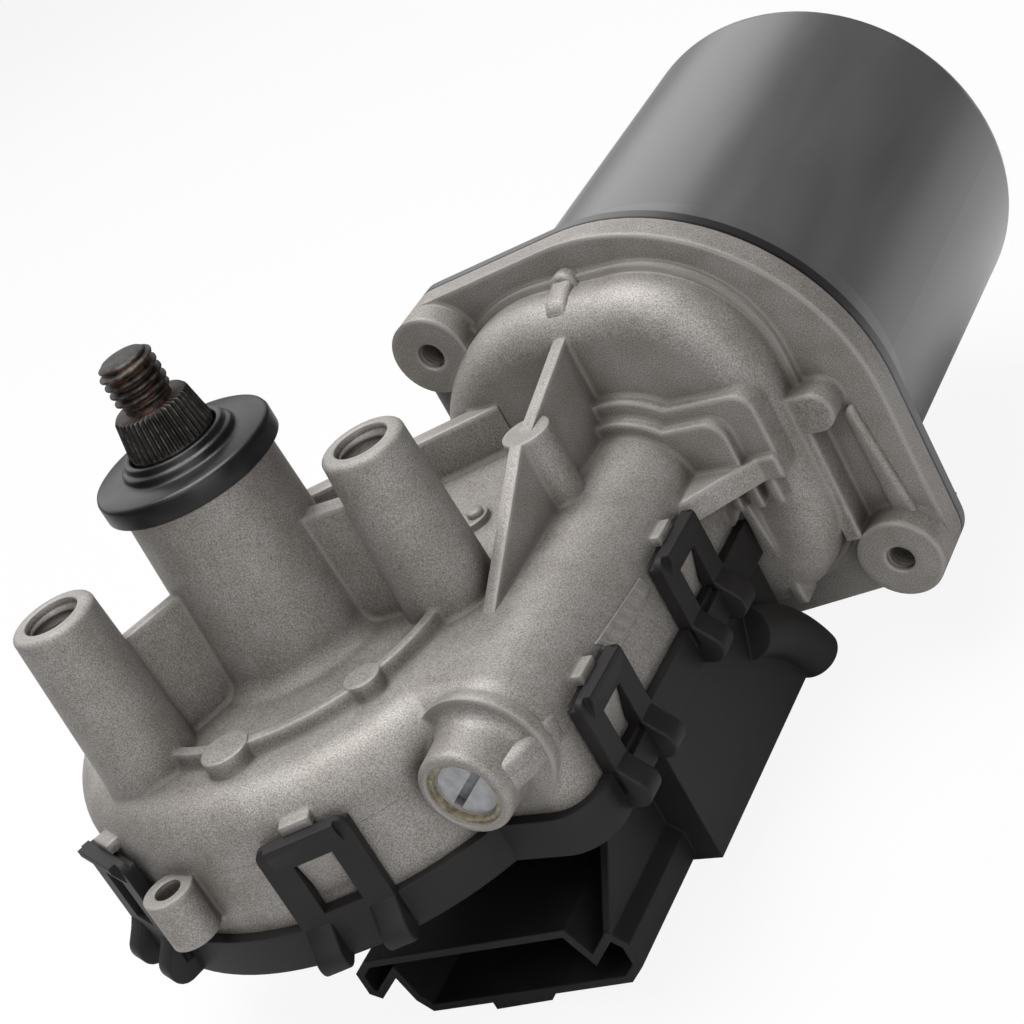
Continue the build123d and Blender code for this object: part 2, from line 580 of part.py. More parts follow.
def contact_plate():
    """Moulded plate in the cover box that carries the conductors and the park contacts."""
    plate = box(BOX_LEFT + COVER_PLATE + 0.2, BOX_RIGHT - COVER_PLATE - 2.2, BOX_FRONT + COVER_PLATE + 0.2,
                BOX_BACK - COVER_PLATE - 0.2, CONTACT_Z, CONTACT_Z + 1.8)
    for x in (BOX_LEFT + COVER_PLATE + 3, BOX_RIGHT - COVER_PLATE - 5):
        plate += box(x - 1.5, x + 1.5, BOX_BACK - COVER_PLATE - 3.2, BOX_BACK - COVER_PLATE - 0.2,
                     BOX_BOTTOM + COVER_PLATE, CONTACT_Z)
        plate += box(x - 1.5, x + 1.5, BOX_FRONT + COVER_PLATE + 0.2, BOX_FRONT + COVER_PLATE + 3.2,
                     BOX_BOTTOM + COVER_PLATE, CONTACT_Z)
    return plate


def park_contacts():
    """Three spring fingers whose tips run under the park disc."""
    fingers = []
    for i in range(3):
        x = CONTACT_X + i * CONTACT_STEP
        fingers.append(slab_x(outline(
            (CONTACT_ROOT, CONTACT_Z + 1.8), (CONTACT_ROOT + 5, CONTACT_Z + 1.8),
            (CONTACT_ROOT + 5, CONTACT_Z + 2.2), (CONTACT_ROOT + 2.2, CONTACT_Z + 2.2),
            (CONTACT_TIP + 0.5, DISC_Z - 0.5), (CONTACT_TIP + 0.5, DISC_Z - 0.3),
            (CONTACT_TIP - 0.5, DISC_Z - 0.3), (CONTACT_TIP - 0.5, DISC_Z - 0.8)), x - 1.2, x + 1.2))
    return Compound(children=fingers)


# --- output shaft and wheel ----------------------------------------------------------------------------
def output_shaft():
    profile = ((0, HUB_BOTTOM - 0.8), (SHAFT_R - 0.6, HUB_BOTTOM - 0.8), (SHAFT_R, HUB_BOTTOM - 0.2),
               (SHAFT_R, RING_Z), (RING_GROOVE_R, RING_Z), (RING_GROOVE_R, RING_Z + RING_THICKNESS),
               (SHAFT_R, RING_Z + RING_THICKNESS), (SHAFT_R, CONE_BOTTOM - 0.4), (CONE_BOTTOM_R - 0.3, CONE_BOTTOM),
               (CONE_BOTTOM_R, CONE_BOTTOM + 0.3), (CONE_TOP_R, CONE_TOP), (STUD_R - 0.5, CONE_TOP),
               (STUD_R - 0.5, CONE_TOP + 0.6), (STUD_R, CONE_TOP + 1.0), (STUD_R, STUD_TOP - 0.9),
               (STUD_R - 0.9, STUD_TOP), (0, STUD_TOP))
    return turned_z(*profile)


def worm_wheel():
    """Moulded wheel whose teeth lean with the lead of the worm."""
    low, high = WORM_Z - WHEEL_FACE / 2, WORM_Z + WHEEL_FACE / 2
    rim = ring_z(WHEEL_ROOT_R, WHEEL_ROOT_R - 3.5, low, high)
    web = ring_z(WHEEL_ROOT_R - 3, HUB_R - 1, WORM_Z - 1.5, WORM_Z + 1.5)
    hub = ring_z(HUB_R, SHAFT_R, HUB_BOTTOM, HUB_TOP)
    quarter = pi * MODULE / 2 - BACKLASH / 2
    half_tip = quarter / 2 - MODULE * tan(FLANK_ANGLE)
    half_root = quarter / 2 + (MODULE + ROOT_GAP) * tan(FLANK_ANGLE)
    face = outline((WHEEL_ROOT_R - 0.6, -half_root), (WHEEL_ROOT_R, -half_root), (WHEEL_TIP_R, -half_tip),
                   (WHEEL_TIP_R, half_tip), (WHEEL_ROOT_R, half_root), (WHEEL_ROOT_R - 0.6, half_root))
    tooth = Pos(0, 0, WORM_Z) * Rot(-degrees(LEAD_ANGLE), 0, 0) * extrude(face, amount=WHEEL_FACE, both=True)
    tooth &= box(0, WHEEL_TIP_R + 1, -5, 5, low, high)
    wheel = rim + [web, hub]
    wheel += [Rot(0, 0, i * 360 / WHEEL_TEETH) * tooth for i in range(WHEEL_TEETH)]
    ribs = [Rot(0, 0, i * 60) * box(HUB_R - 0.5, WHEEL_ROOT_R - 3, -0.9, 0.9, WORM_Z, high - 0.6) for i in range(6)]
    return wheel + ribs


def park_contact_disc():
    """Brass disc under the wheel, notched where the blades park."""
    disc = ring_z(DISC_R, DISC_INNER_R, DISC_Z, DISC_Z + DISC_THICKNESS)
    notch = ring_z(DISC_R + 1, DISC_R - 5, DISC_Z - 1, DISC_Z + 2)
    return disc - (notch & box(0, DISC_R + 2, -8, 8, DISC_Z - 1, DISC_Z + 2))


def shaft_bush(top):
    return ring_z(SHAFT_R + BUSH_WALL, SHAFT_R + RUN_GAP, top - BUSH_LENGTH, top)


def thrust_washer(bottom):
    return ring_z(WASHER_R, SHAFT_R, bottom, bottom + WASHER)


def retaining_ring():
    ring = ring_z(RING_R, RING_GROOVE_R, RING_Z, RING_Z + RING_THICKNESS)
    return ring - box(0, RING_R + 1, -3.2, 3.2, RING_Z - 1, RING_Z + 2)


def seal_cap():
    """Rubber cap pressed on the tower, its lip against the shaft."""
    under = RING_Z + RING_THICKNESS + 0.4
    profile = outline((CAP_SEAT_R, CAP_BOTTOM), (CAP_R, CAP_BOTTOM), (CAP_R - 0.3, CAP_RIM),
                      (CAP_LIP_R + 1.6, CAP_RIM), (CAP_LIP_R, CAP_TOP), (CAP_LIP_R - 1.1, CAP_TOP),
                      (CAP_LIP_R - 1.8, CAP_TOP - 1.2), (SHAFT_R + RUN_GAP, CAP_TOP - 1.2),
                      (SHAFT_R + RUN_GAP, under), (WASHER_R + 0.6, under), (WASHER_R + 0.6, TOWER_TOP),
                      (CAP_SEAT_R, TOWER_TOP))
    profile = fillet(profile.vertices().sort_by_distance((CAP_R - 0.3, CAP_RIM, 0))[0], 1.1)
    profile = fillet(profile.vertices().sort_by_distance((CAP_R, CAP_BOTTOM, 0))[0], 0.6)
    return revolve(Plane.XZ * profile, Axis.Z)


# --- motor -----------------------------------------------------------------------------------------------
def armature_shaft():
    """Rotor shaft with the worm thread rolled on its front end."""
    worm = WORM_LENGTH / 2
    journal = turned_y((0, SHAFT_FRONT), (JOURNAL_R - 0.4, SHAFT_FRONT), (JOURNAL_R, SHAFT_FRONT + 0.4),
                       (JOURNAL_R, -worm), (0, -worm))
    tail = turned_y((0, worm), (WORM_ROOT_R, worm), (ROTOR_SHAFT_R, worm + 2.5), (ROTOR_SHAFT_R, SHAFT_END - 0.5),
                    (ROTOR_SHAFT_R - 0.5, SHAFT_END), (0, SHAFT_END))
    core = on_rotor(Rot(-90, 0, 0) * Cylinder(WORM_ROOT_R, 2 * worm), SEAM_TURN)
    start = -AXIAL_PITCH * (int(worm / AXIAL_PITCH) + 2)
    quarter = AXIAL_PITCH / 2 - BACKLASH / 2
    root = WORM_ROOT_R - 0.3
    half_tip = quarter / 2 - MODULE * tan(FLANK_ANGLE)
    half_root = quarter / 2 + (WORM_R - root) * tan(FLANK_ANGLE)
    face = outline((root, -half_root), (WORM_TIP_R, -half_tip), (WORM_TIP_R, half_tip), (root, half_root))
    path = Helix(AXIAL_PITCH, -2 * start, WORM_R)
    thread = sweep(Plane.XZ * face, path=path, is_frenet=True)
    thread = Pos(CENTRE_DISTANCE, start, WORM_Z) * Rot(-90, 0, 0) * thread
    thread &= turned_y((0, -worm), (WORM_TIP_R + 1, -worm), (WORM_TIP_R + 1, worm), (0, worm))
    socket = Pos(CENTRE_DISTANCE, BALL_Y, WORM_Z) * Sphere(BALL_R)
    return journal + (core + thread) + tail - socket


def thrust_ball():
    return Pos(CENTRE_DISTANCE, BALL_Y, WORM_Z) * Sphere(BALL_R)


def lamination_stack():
    core = ring_y(CORE_R, ROTOR_SHAFT_R, CORE_START, CORE_END)
    slots = []
    for i in range(SLOTS):
        cut = box(SLOT_FLOOR_R, CORE_R - 1.6, CORE_START - 1, CORE_END + 1, -SLOT_WIDTH / 2, SLOT_WIDTH / 2)
        cut += box(CORE_R - 2, CORE_R + 1, CORE_START - 1, CORE_END + 1, -1.0, 1.0)
        slots.append(on_rotor(cut, i * 360 / SLOTS))
    return core - slots


def on_rotor(shape, angle):
    """Turn a shape drawn about the Y axis and move it to the armature axis."""
    return Pos(CENTRE_DISTANCE, 0, WORM_Z) * Rot(0, angle, 0) * shape


def windings():
    """Copper end turns with the bars that fill the core slots."""
    inner, outer = ROTOR_SHAFT_R + 2.5, CORE_R - 1.8
    front = ring_y(outer, inner, CORE_START - END_TURN, CORE_START)
    front = fillet(front.faces().sort_by(Axis.Y)[0].edges(), 2.2)
    rear = ring_y(outer, inner, CORE_END, CORE_END + END_TURN)
    rear = fillet(rear.faces().sort_by(Axis.Y)[-1].edges(), 2.2)
    bars = [on_rotor(box(SLOT_FLOOR_R, CORE_R - 1.8, CORE_START - 0.5, CORE_END + 0.5,
                         -SLOT_WIDTH / 2, SLOT_WIDTH / 2), i * 360 / SLOTS) for i in range(SLOTS)]
    return front + rear + bars


def commutator():
    body = ring_y(COMMUTATOR_R, ROTOR_SHAFT_R, COMMUTATOR_START, COMMUTATOR_END)
    body += ring_y(COMMUTATOR_R + 1.2, ROTOR_SHAFT_R, COMMUTATOR_END - 1.6, COMMUTATOR_END)
    slits = [on_rotor(box(COMMUTATOR_R - 1.2, COMMUTATOR_R + 2, COMMUTATOR_START - 1, COMMUTATOR_END + 1,
                          -0.3, 0.3), (i + 0.5) * 360 / COMMUTATOR_BARS) for i in range(COMMUTATOR_BARS)]
    return body - slits


def worm_bush():
    return ring_y(FRONT_BUSH_R, JOURNAL_R + RUN_GAP, -WORM_ROOM - 4.0, -WORM_ROOM)


def middle_bearing():
    return ring_y(BEARING_R, ROTOR_SHAFT_R + RUN_GAP, BEARING_START, BEARING_END)


def rear_bearing():
    ring = ring_y(CUP_R - CAN_WALL, ROTOR_SHAFT_R + RUN_GAP, CAN_END - 1.5, CAN_END + CUP_LENGTH - 3)
    return ring


def thrust_screw():
    """Slotted nylon screw that takes up the end play of the armature."""
    body = turned_y((0, THRUST_BACK), (THRUST_R - 0.4, THRUST_BACK), (THRUST_R, THRUST_BACK - 0.4),
                    (THRUST_R, THRUST_FACE), (0, THRUST_FACE))
    slot = box(-THRUST_R, THRUST_R, THRUST_FACE - 1, THRUST_FACE + 1.6, -0.6, 0.6)
    return body - Pos(CENTRE_DISTANCE, 0, WORM_Z) * Rot(0, SLOT_TURN, 0) * slot


def locking_sealant():
    return ring_y(MOUTH_R, THRUST_R + 0.3, SCREW_BOSS_FRONT + 0.5, SCREW_BOSS_FRONT + MOUTH_DEPTH)


def motor_can():
    face = FLANGE_FACE + GASKET
    shell = turned_y((0, face), (CAN_R + 0.6, face), (CAN_R, face + 8), (CAN_R, CAN_END), (0, CAN_END))
    shell = fillet(shell.edges().filter_by(GeomType.CIRCLE).sort_by(Axis.Y)[-1], CAN_EDGE_R)
    shell += slab_y(flange_outline(), face, face + CAN_FLANGE)
    shell += ring_y(CUP_R, 0, CAN_END - 1, CAN_END + CUP_LENGTH)
    inner = CAN_R - CAN_WALL
    shell -= turned_y((0, face - 1), (inner, face - 1), (inner, CAN_END - CAN_WALL - 1),
                      (inner - 1, CAN_END - CAN_WALL), (CUP_R - CAN_WALL, CAN_END - CAN_WALL),
                      (CUP_R - CAN_WALL, CAN_END + CUP_LENGTH - CAN_WALL), (0, CAN_END + CUP_LENGTH - CAN_WALL))
    holes = [slab_y(Pos(x, z) * Circle(SCREW_R), face - 1, face + CAN_FLANGE + 1) for x, z in ear_centres()]
    return shell - holes


def can_gasket():
    ring = slab_y(flange_outline(), FLANGE_FACE, FLANGE_FACE + GASKET)
    ring -= slab_y(Pos(CENTRE_DISTANCE, WORM_Z) * Circle(CAN_R - CAN_WALL), FLANGE_FACE - 1, FLANGE_FACE + 2)
    holes = [slab_y(Pos(x, z) * Circle(SCREW_R), FLANGE_FACE - 1, FLANGE_FACE + 2) for x, z in ear_centres()]
    return ring - holes


def can_screw(place):
    x, z = ear_centres()[place]
    seat = FLANGE_FACE + GASKET + CAN_FLANGE
    shank = slab_y(Circle(SCREW_R), FLANGE_FACE - FLANGE_THICKNESS + 0.5, seat + 0.5)
    head = slab_y(RegularPolygon(SCREW_HEAD_R, 6), seat, seat + SCREW_HEAD)
    return Pos(x, 0, z) * (shank + head)


def magnet(angle):
    inner, outer = CORE_R + AIR_GAP, CAN_R - CAN_WALL
    arc = revolve(outline((inner, CORE_START - 3), (outer, CORE_START - 3), (outer, CORE_END + 3),
                          (inner, CORE_END + 3)), Axis.Y, MAGNET_ARC)
    return on_rotor(arc, angle)


def magnet_spring(angle):
    """Bent strip wedged between the magnet edges."""
    inner, outer = CORE_R + AIR_GAP + 3.0, CAN_R - CAN_WALL
    strip = revolve(outline((outer - 0.6, CORE_START), (outer, CORE_START), (outer, CORE_END),
                            (outer - 0.6, CORE_END)), Axis.Y, 360 / 2 - MAGNET_ARC - 0.4)
    side = box(inner, outer - 0.2, CORE_START, CORE_END, -0.6, 0.0)
    return on_rotor(strip + side, angle)


def brush_plate():
    """Insulating plate in the flange room with a brass guide box for each brush."""
    plate = ring_y(CAN_R - CAN_WALL, PLATE_BORE_R, PLATE_Y, PLATE_Y + PLATE_THICKNESS)
    cut = slab_y(Pos(CENTRE_DISTANCE - 12, WORM_Z - 14) * Rectangle(8, 7), PLATE_Y - 1, PLATE_Y + 4)
    return plate - cut


def brush_guide(angle):
    guide = box(GUIDE_START, GUIDE_END, PLATE_Y - BRUSH_HEIGHT - 0.8, PLATE_Y,
                -BRUSH_WIDTH / 2 - 0.6, BRUSH_WIDTH / 2 + 0.6)
    return on_rotor(guide - box(0, GUIDE_END + 1, PLATE_Y - BRUSH_HEIGHT - 0.1, PLATE_Y + 1,
                                -BRUSH_WIDTH / 2, BRUSH_WIDTH / 2), angle)


def brush(angle):
    block = box(COMMUTATOR_R - 1, BRUSH_END, PLATE_Y - BRUSH_HEIGHT - 0.1, PLATE_Y - 0.1,
                -BRUSH_WIDTH / 2, BRUSH_WIDTH / 2)
    block -= Rot(-90, 0, 0) * Pos(0, 0, PLATE_Y - 3) * Cylinder(COMMUTATOR_R + 0.3, 20)
    return on_rotor(block, angle)


def brush_spring(angle):
    """Leaf that presses the brush on the commutator."""
    leaf = slab_y(outline((BRUSH_END, -1.6), (BRUSH_END + 0.3, -1.6), (GUIDE_END - 0.2, 1.3),
                          (BRUSH_END + 0.3, 1.9), (BRUSH_END, 1.9), (GUIDE_END - 1.2, 1.2)),
                  PLATE_Y - BRUSH_HEIGHT + 1, PLATE_Y - 1)
    return on_rotor(leaf, angle)


def choke(angle):
    """Interference choke: a wound rod on the back of the brush plate."""
    back = PLATE_Y + PLATE_THICKNESS
    rod = Pos(CHOKE_AT, back + CHOKE_R, 0) * Cylinder(CHOKE_R, CHOKE_LENGTH)
    return on_rotor(rod, angle)


def brush_leads():
    """Insulated wires from the contact plate to the brush plate."""
    leads = []
    for x in LEAD_X:
        run = Polyline((x, BOX_BACK - 8, CONTACT_Z + 2.6), (x, BOX_BACK - 8, LEAD_WINDOW_TOP - 2.2),
                       (x, PLATE_Y - 0.2, LEAD_WINDOW_TOP - 2.2))
        section = Plane(origin=run @ 0, z_dir=run % 0) * Circle(LEAD_R)
        leads.append(sweep(section, path=run, transition=Transition.RIGHT))
    return Compound(children=leads)


# --- the assembly ------------------------------------------------------------------------------------------
def build_parts():
    return {
        "gear_housing": gear_housing(),
        "gear_cover": gear_cover(),
        "cover_seal": cover_seal(),
        "connector_terminals": connector_terminals(),
        "contact_plate": contact_plate(),
        "park_contacts": park_contacts(),
        "upper_shaft_bush": shaft_bush(TOWER_TOP - 0.4),
        "lower_shaft_bush": shaft_bush(DECK_Z - WALL + BUSH_LENGTH),
        "seal_cap": seal_cap(),
        "output_shaft": output_shaft(),
        "worm_wheel": worm_wheel(),
        "park_contact_disc": park_contact_disc(),
        "lower_thrust_washer": thrust_washer(HUB_TOP),
        "upper_thrust_washer": thrust_washer(RING_Z - WASHER),
        "retaining_ring": retaining_ring(),
        "armature_shaft": armature_shaft(),
        "thrust_ball": thrust_ball(),
        "lamination_stack": lamination_stack(),
        "windings": windings(),
        "commutator": commutator(),
        "worm_bush": worm_bush(),
        "middle_bearing": middle_bearing(),
        "rear_bearing": rear_bearing(),
        "thrust_screw": thrust_screw(),
        "locking_sealant": locking_sealant(),
        "motor_can": motor_can(),
        "can_gasket": can_gasket(),
        "upper_can_screw": can_screw(0),
        "lower_can_screw": can_screw(1),
        "left_magnet": magnet(90 + (180 - MAGNET_ARC) / 2),
        "right_magnet": magnet(-90 + (180 - MAGNET_ARC) / 2),
        "upper_magnet_spring": magnet_spring(-90 - (180 - MAGNET_ARC) / 2 + 0.2),
        "lower_magnet_spring": magnet_spring(90 - (180 - MAGNET_ARC) / 2 + 0.2),
        "brush_plate": brush_plate(),
        "common_brush": brush(BRUSH_ANGLES[0]),
        "low_speed_brush": brush(BRUSH_ANGLES[1]),
        "high_speed_brush": brush(BRUSH_ANGLES[2]),
        "common_brush_guide": brush_guide(BRUSH_ANGLES[0]),
        "low_speed_brush_guide": brush_guide(BRUSH_ANGLES[1]),
        "high_speed_brush_guide": brush_guide(BRUSH_ANGLES[2]),
        "common_brush_spring": brush_spring(BRUSH_ANGLES[0]),
        "low_speed_brush_spring": brush_spring(BRUSH_ANGLES[1]),
        "high_speed_brush_spring": brush_spring(BRUSH_ANGLES[2]),
        "upper_choke": choke(-60),
        "lower_choke": choke(120),
        "brush_leads": brush_leads(),
    }


os.makedirs("parts", exist_ok=True)
for name, shape in build_parts().items():
    shape.label = name
    export_step(shape, f"parts/{name}.step")
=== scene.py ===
"""Front wiper motor: die-cast worm gearbox, black nylon gear cover and flanged motor can."""
import math

import bmesh
import bpy
from mathutils import Matrix, Vector


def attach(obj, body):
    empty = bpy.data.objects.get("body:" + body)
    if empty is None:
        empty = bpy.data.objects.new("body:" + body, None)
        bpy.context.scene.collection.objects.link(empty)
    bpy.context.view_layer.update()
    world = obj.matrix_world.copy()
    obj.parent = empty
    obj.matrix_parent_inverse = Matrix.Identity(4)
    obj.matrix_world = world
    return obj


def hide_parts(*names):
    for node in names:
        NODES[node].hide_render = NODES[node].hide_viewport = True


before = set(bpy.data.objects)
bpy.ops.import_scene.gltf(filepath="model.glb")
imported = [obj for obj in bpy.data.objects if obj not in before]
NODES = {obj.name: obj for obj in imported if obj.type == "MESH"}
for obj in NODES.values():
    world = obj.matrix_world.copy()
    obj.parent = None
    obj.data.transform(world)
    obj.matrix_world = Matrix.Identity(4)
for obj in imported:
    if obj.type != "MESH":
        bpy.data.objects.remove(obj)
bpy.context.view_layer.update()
MM = 0.001

# --- Camera ----------------------------------------------------------------------------------
# A long lens a little over 300 mm away, rolled so the motor rises to the upper right.
CAMERA_AT = Vector((214.008, -207.441, 114.469)) * MM
CAMERA_RIGHT = Vector((0.80455, 0.38636, -0.45103))
CAMERA_DOWN = Vector((-0.15065, -0.60185, -0.78427))
CAMERA_AHEAD = Vector((-0.57446, 0.69893, -0.42601))

camera = bpy.data.objects.new("camera", bpy.data.cameras.new("camera"))
bpy.context.collection.objects.link(camera)
camera.data.lens = 84.34
camera.data.sensor_width = 36.0
camera.data.clip_start = 0.01
camera.matrix_world = Matrix.Translation(CAMERA_AT) @ Matrix(
    (CAMERA_RIGHT, -CAMERA_DOWN, -CAMERA_AHEAD)).transposed().to_4x4()
bpy.context.scene.camera = camera

# --- Floor, backdrop and lamps -----------------------------------------------------------------
# A pale seamless table under six soft white panels. Most of the light comes from above, and
# weaker panels in front and beside the can open up the upright faces.
FLOOR_Z = -0.076
FLOOR_SIZE = 12.0
GLOW_SHARE = 0.90                          # how far the lens sees the table washed out to white
WORLD_FILL, WORLD_SEEN = 0.02, 0.10        # strength of the backdrop for bounced and for seen light
MIDDLE = (0.03, 0.04, -0.03)               # every panel faces the middle of the motor


def add_node(tree, kind, links=None, **settings):
    """Adds a node, sets its properties and named sockets, and links what feeds it."""
    made = tree.nodes.new(kind)
    for name, value in settings.items():
        if name in made.inputs:
            made.inputs[name].default_value = value
        else:
            setattr(made, name, value)
    for name, source in (links or {}).items():
        tree.links.new(source, made.inputs[name])
    return made


def sum_of(tree, operation, first, second=None):
    """One sum on a socket and, where it takes two, on a second socket or a number."""
    made = add_node(tree, "ShaderNodeMath", {0: first}, operation=operation)
    if isinstance(second, bpy.types.NodeSocket):
        tree.links.new(second, made.inputs[1])
    elif second is not None:
        made.inputs[1].default_value = second
    return made.outputs[0]


def remap(tree, source, source_low, source_high, low, high):
    """Moves a socket from one range of values to another, and stops at its ends."""
    limits = {"From Min": source_low, "From Max": source_high, "To Min": low, "To Max": high}
    return add_node(tree, "ShaderNodeMapRange", {"Value": source}, **limits).outputs[0]


def colour(code):
    """sRGB hex code to the linear colour the shaders take."""
    parts = [int(code[i:i + 2], 16) / 255 for i in (1, 3, 5)]
    return [p / 12.92 if p <= 0.04045 else ((p + 0.055) / 1.055) ** 2.4 for p in parts] + [1.0]


def new_material(name):
    """New material, with its node tree and its shader."""
    made = bpy.data.materials.new(name)
    made.use_nodes = True
    return made, made.node_tree, made.node_tree.nodes["Principled BSDF"]


def mesh_object(name, verts, faces, material, smooth=True):
    """Mesh in the shared frame from points in millimetres."""
    mesh = bpy.data.meshes.new(name)
    mesh.from_pydata([[c * MM for c in v] for v in verts], [], faces)
    mesh.polygons.foreach_set("use_smooth", [smooth] * len(mesh.polygons))
    mesh.materials.append(material)
    made = bpy.data.objects.new(name, mesh)
    bpy.context.collection.objects.link(made)
    return made


def panel(name, place, width, height, watts):
    """Soft rectangular lamp aimed at the motor."""
    lamp = bpy.data.objects.new(name, bpy.data.lights.new(name, "AREA"))
    bpy.context.collection.objects.link(lamp)
    lamp.data.shape = "RECTANGLE"
    lamp.data.size, lamp.data.size_y = width, height
    lamp.data.energy = watts
    lamp.location = place
    lamp.rotation_euler = (Vector(MIDDLE) - Vector(place)).to_track_quat("-Z", "Y").to_euler()


table, tree, shader = new_material("white laminate table")
shader.inputs["Base Color"].default_value = colour("#D6D6D6")
shader.inputs["Roughness"].default_value = 0.6
glow = add_node(tree, "ShaderNodeEmission", Color=colour("#FFFFFF"), Strength=1.0)
path = add_node(tree, "ShaderNodeLightPath")
share = sum_of(tree, "MULTIPLY", path.outputs["Is Camera Ray"], GLOW_SHARE)
blend = add_node(tree, "ShaderNodeMixShader", {0: share, 1: shader.outputs[0], 2: glow.outputs[0]})
tree.links.new(blend.outputs[0], tree.nodes["Material Output"].inputs["Surface"])
half = FLOOR_SIZE / 2 / MM
corners = [(x, y, FLOOR_Z / MM) for x, y in ((-half, -half), (half, -half), (half, half), (-half, half))]
floor = mesh_object("floor", corners, [(0, 1, 2, 3)], table, smooth=False)

world = bpy.data.worlds.new("studio")
bpy.context.scene.world = world
world.use_nodes = True
tree = world.node_tree
path = add_node(tree, "ShaderNodeLightPath")
seen = sum_of(tree, "MAXIMUM", path.outputs["Is Camera Ray"], path.outputs["Is Glossy Ray"])
backdrop = tree.nodes["Background"]
backdrop.inputs["Color"].default_value = colour("#FFFFFF")
tree.links.new(remap(tree, seen, 0.0, 1.0, WORLD_FILL, WORLD_SEEN), backdrop.inputs["Strength"])

panel("overhead panel", (-0.06, 0.07, 0.56), 0.35, 0.35, 4.1)
panel("front overhead panel", (0.12, -0.25, 0.49), 0.40, 0.40, 1.3)
panel("lens panel", (0.44, -0.36, 0.16), 0.40, 0.40, 1.1)
panel("left panel", (-0.50, 0.14, 0.26), 0.40, 0.45, 0.8)
panel("far left panel", (-0.30, 0.50, 0.28), 0.55, 0.45, 0.8)
panel("low front panel", (0.09, -0.52, 0.17), 0.45, 0.45, 0.2)

# --- Gear housing ------------------------------------------------------------------------------
# One aluminium pressure die casting, tumbled and left bare. The dull, slightly sandy skin is
# lighter where edges are rubbed, and darker in patches where die release has stained it. Corners
# and crevices get painted shade, darker where other surfaces close in. Broken flash shows where
# the die halves meet.
GRAIN_MM = 0.18
FLECK_MM = 0.20
STAIN_MM = 6.0
RUB_MM = 1.3
# how far the painted shade in corners reaches
CORNER_SHADE_MM = 6.0
PARTING_Z = -34.0              # the two halves of the die meet here
PARTING_END_Y = 28.0           # from here on, back towards the can, the flash was trimmed off


def noise(tree, place, size, detail, roughness=0.5):
    """Noise whose pattern has this size in millimetres."""
    made = add_node(tree, "ShaderNodeTexNoise", {"Vector": place}, Scale=1.0 / (size * MM), Detail=detail,
                    Roughness=roughness)
    return made.outputs["Fac"]


def two_tone(tree, source, low_at, low, high_at, high):
    """Ramp from one sRGB code to another, each at its own level of the source."""
    ramp = add_node(tree, "ShaderNodeValToRGB", {"Fac": source})
    for stop, level, code in zip(ramp.color_ramp.elements, (low_at, high_at), (low, high)):
        stop.position = level
        stop.color = colour(code)
    return ramp.outputs["Color"]


def mix_colour(tree, factor, first, second, blend="MIX"):
    """Mixes two colours, each a socket or a plain colour, by a socket or a number."""
    made = tree.nodes.new("ShaderNodeMix")
    made.data_type, made.blend_type = "RGBA", blend
    for socket, source in ((made.inputs[0], factor), (made.inputs[6], first), (made.inputs[7], second)):
        if isinstance(source, bpy.types.NodeSocket):
            tree.links.new(source, socket)
        else:
            socket.default_value = source
    return made.outputs[2]


def vary_roughness(tree, shader, source, low, high):
    """Roughness that follows a pattern from one level to another."""
    tree.links.new(remap(tree, source, 0.0, 1.0, low, high), shader.inputs["Roughness"])


def relief(tree, source, strength, height, normal=None):
    """Bump of this height in millimetres, on the plain surface or on top of another normal."""
    links = {"Height": source}
    if normal:
        links["Normal"] = normal
    return add_node(tree, "ShaderNodeBump", links, Strength=strength, Distance=height * MM).outputs[0]


def rounded_edges(tree, radius):
    """Normal that shades the sharp edges as rounded."""
    return add_node(tree, "ShaderNodeBevel", Radius=radius * MM, samples=4).outputs[0]


def rubbed_edges(tree, rounded, widest):
    """Mask of the edges that get rubbed: where the rounded normal leaves the plain one."""
    surface = add_node(tree, "ShaderNodeNewGeometry")
    close = add_node(tree, "ShaderNodeVectorMath", {0: rounded, 1: surface.outputs["Normal"]},
                     operation="DOT_PRODUCT")
    return remap(tree, close.outputs["Value"], 1.0, widest, 0.0, 1.0)


def dress(node, material):
    """Gives a CAD node its finish."""
    slots = NODES[node].data.materials
    slots.clear()
    slots.append(material)


casting, tree, shader = new_material("tumbled die-cast aluminium")
shader.inputs["Metallic"].default_value = 0.35
place = add_node(tree, "ShaderNodeTexCoord").outputs["Object"]
grain = noise(tree, place, GRAIN_MM, 2.0, 0.6)
fleck = noise(tree, place, FLECK_MM, 1.0)
stain = noise(tree, place, STAIN_MM, 4.0, 0.6)
skin = two_tone(tree, fleck, 0.30, "#74716E", 0.72, "#ABA7A3")
patch = two_tone(tree, stain, 0.36, "#EDEBE8", 0.62, "#FFFFFF")
stained = mix_colour(tree, 1.0, skin, patch, "MULTIPLY")
rounded = rounded_edges(tree, RUB_MM)
worn = mix_colour(tree, rubbed_edges(tree, rounded, 0.75), stained, colour("#B2AEAA"))
# Painted shade: the colour is darkened where ambient occlusion finds other surfaces close by, in corners and
# crevices.
corner = add_node(tree, "ShaderNodeAmbientOcclusion", Distance=CORNER_SHADE_MM * MM, samples=4, only_local=True)
unshaded_share = remap(tree, corner.outputs["AO"], 0.35, 0.85, 0.0, 1.0)
painted_corner_shade = mix_colour(tree, unshaded_share, colour("#A29D98"), colour("#FFFFFF"))
tree.links.new(mix_colour(tree, 1.0, worn, painted_corner_shade, "MULTIPLY"), shader.inputs["Base Color"])
vary_roughness(tree, shader, fleck, 0.44, 0.62)
axes = add_node(tree, "ShaderNodeSeparateXYZ", {0: place})
away = sum_of(tree, "ABSOLUTE", sum_of(tree, "SUBTRACT", axes.outputs["Z"], PARTING_Z * MM))
line = remap(tree, away, 0.05 * MM, 0.16 * MM, 1.0, 0.0)
ahead = remap(tree, axes.outputs["Y"], PARTING_END_Y * MM, (PARTING_END_Y + 1) * MM, 1.0, 0.0)
broken = remap(tree, stain, 0.42, 0.52, 0.0, 1.0)
flash = sum_of(tree, "MULTIPLY", sum_of(tree, "MULTIPLY", line, ahead), broken)
